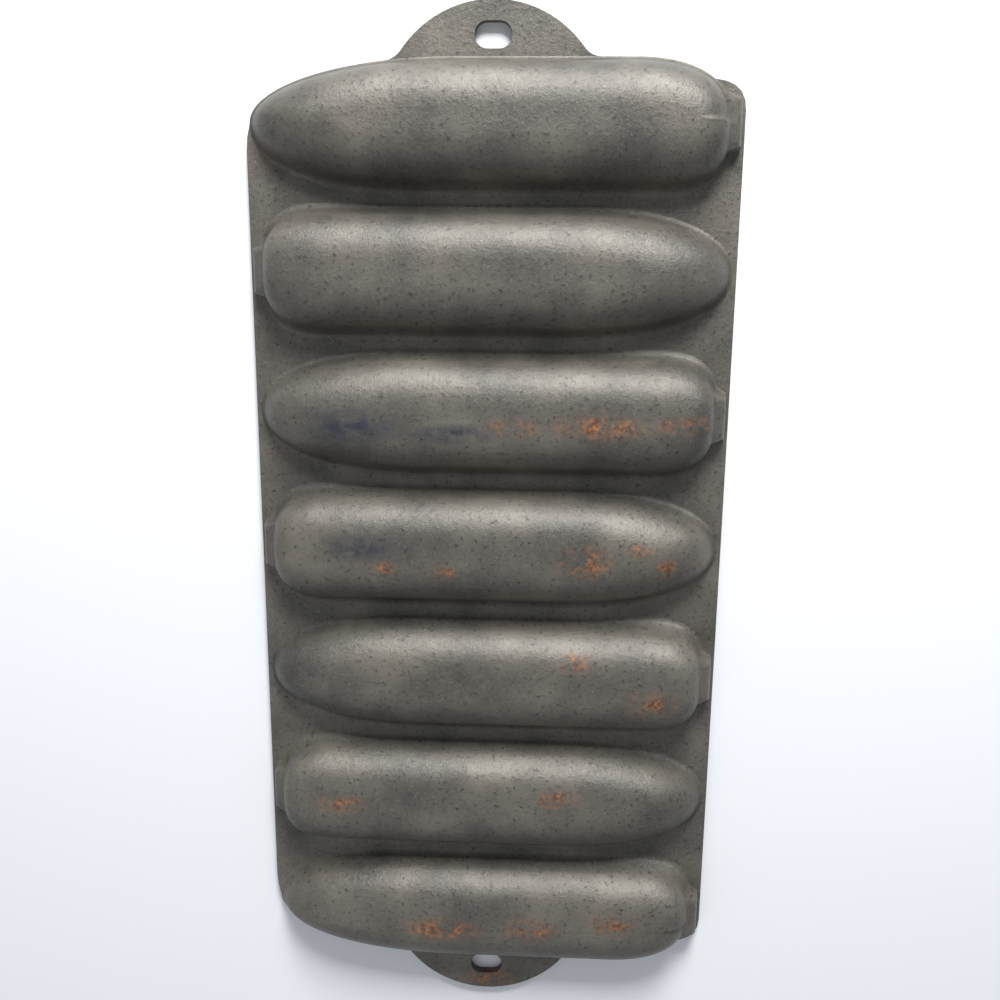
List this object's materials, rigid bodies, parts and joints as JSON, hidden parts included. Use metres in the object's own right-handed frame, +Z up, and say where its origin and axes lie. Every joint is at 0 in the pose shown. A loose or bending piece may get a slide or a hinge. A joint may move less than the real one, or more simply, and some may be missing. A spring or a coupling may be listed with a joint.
{
  "type": "corn stick pan",
  "caption": "Cast iron corn stick pan, face down: ear shaped cups in alternating directions on a thin plate, with a round hang tab at each end.",
  "frame": {"origin": "centre of the pan's rim plane, which is the bottom of its box as it lies face down", "axes": "+X along the ears, +Y along the row of cups towards the top hang tab, +Z up out of the cups' bottoms"},
  "size_m": [0.147, 0.3244, 0.017],
  "materials": {
    "seasoned_iron": "satin"
  },
  "bodies": {
    "root": {"plate": "seasoned_iron", "cup_1": "seasoned_iron", "cup_2": "seasoned_iron", "cup_3": "seasoned_iron", "cup_4": "seasoned_iron", "cup_5": "seasoned_iron", "cup_6": "seasoned_iron", "cup_7": "seasoned_iron", "hang_tab_top": "seasoned_iron", "hang_tab_bottom": "seasoned_iron"}
  },
  "joints": []
}
